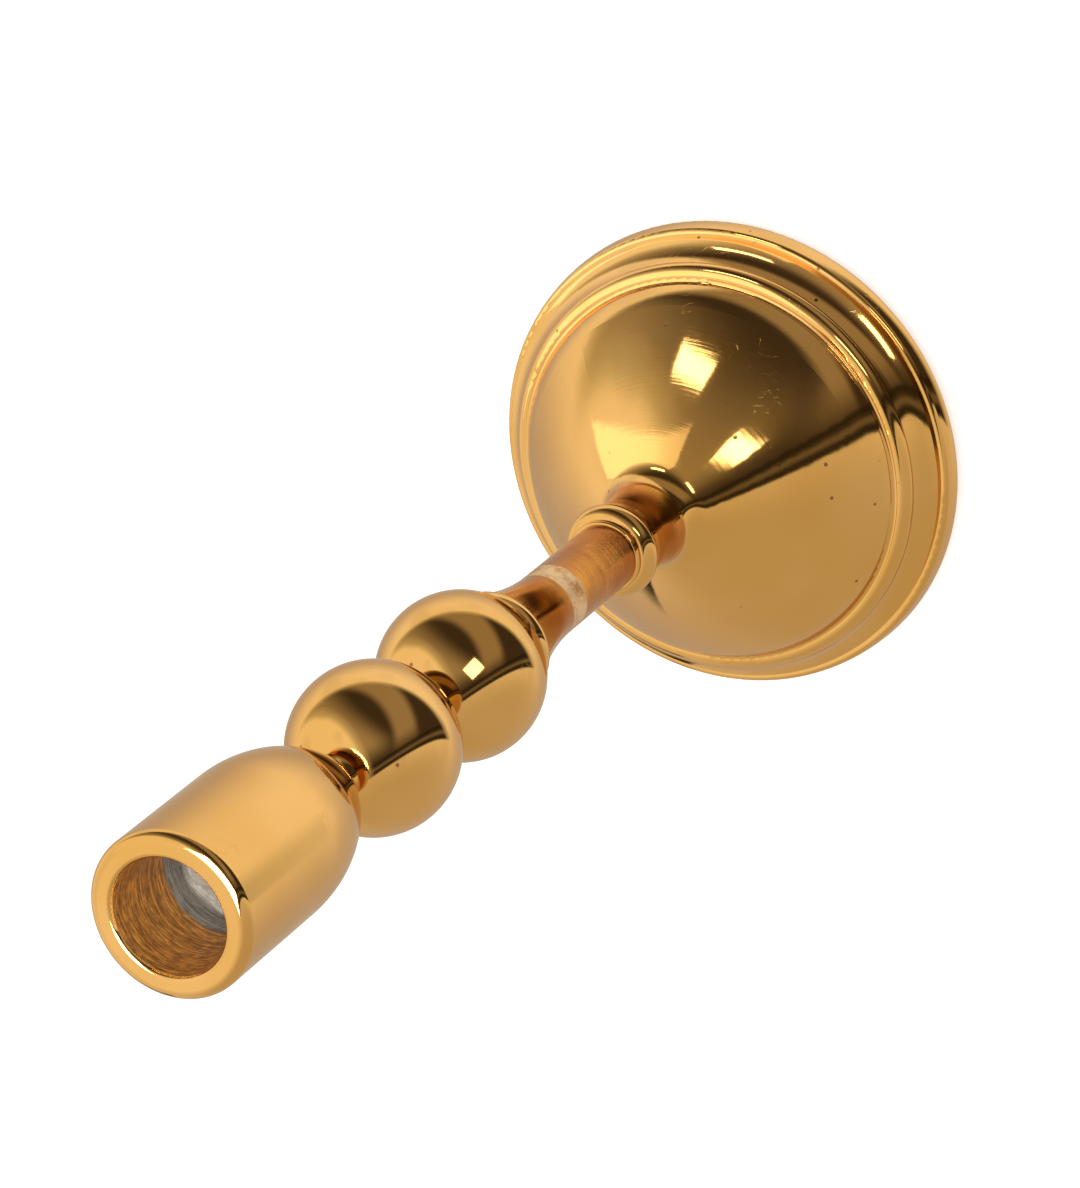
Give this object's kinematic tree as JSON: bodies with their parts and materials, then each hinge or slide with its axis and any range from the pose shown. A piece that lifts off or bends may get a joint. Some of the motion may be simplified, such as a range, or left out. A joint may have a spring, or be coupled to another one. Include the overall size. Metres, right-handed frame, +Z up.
{
  "type": "altar candlestick",
  "caption": "Turned brass altar candlestick with a straight candle cup, ball knops, a flared stem with a bead ring, and a domed foot with a moulded rim and felt underside.",
  "frame": {"origin": "centre of the underside of the felt, where the candlestick rests on the altar", "axes": "+Z up along the turning axis, through the candle cup"},
  "size_m": [0.1024, 0.1024, 0.248],
  "materials": {
    "polished_brass": "polished and lacquered gold-toned brass with fine scratches",
    "turned_brass": "polished brass with fine circumferential turning marks and a frosted band at the upper seam",
    "steel": "bright zinc-plated steel",
    "plate_steel": "dark painted sheet steel",
    "felt": "short dark green wool felt"
  },
  "bodies": {
    "root": {"candle_socket": "polished_brass", "socket_ring": "polished_brass", "upper_ball": "polished_brass", "ball_ring": "polished_brass", "lower_ball": "polished_brass", "flare_collar": "polished_brass", "trumpet_flare": "polished_brass", "stem_tube": "turned_brass", "bead_ring": "polished_brass", "base_neck": "polished_brass", "foot": "polished_brass", "tie_rod": "steel", "foot_washer": "steel", "lock_washer": "steel", "hex_nut": "steel", "bottom_plate": "plate_steel", "felt_pad": "felt"}
  },
  "joints": []
}
